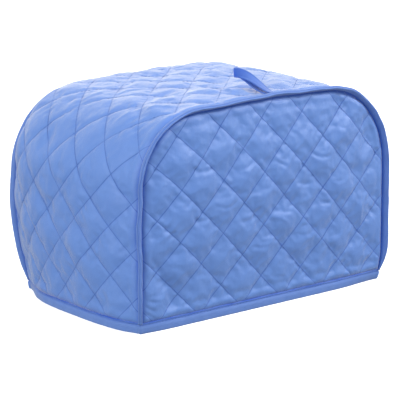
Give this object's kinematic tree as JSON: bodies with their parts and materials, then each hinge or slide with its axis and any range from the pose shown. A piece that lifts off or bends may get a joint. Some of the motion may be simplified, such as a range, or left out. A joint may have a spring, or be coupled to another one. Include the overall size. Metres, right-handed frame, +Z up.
{
  "type": "toaster cover",
  "caption": "Blue quilted fabric toaster cover with arched end panels, taped seams, a bound hem and a carrying loop, standing open at the bottom.",
  "frame": {"origin": "middle of the cover's footprint on the surface it stands on", "axes": "+Z up, +X along the cover's width, -Y out of the front panel that carries the loop"},
  "size_m": [0.3273, 0.2214, 0.2152],
  "materials": {
    "quilted_cloth": "quilted polyester, soft sheen",
    "binding_tape": "folded polyester tape, soft sheen"
  },
  "bodies": {
    "root": {"front_panel": "quilted_cloth", "back_panel": "quilted_cloth", "side_and_top_band": "quilted_cloth", "front_seam_binding": "binding_tape", "back_seam_binding": "binding_tape", "hem_binding": "binding_tape", "tape_loop": "binding_tape"}
  },
  "joints": []
}
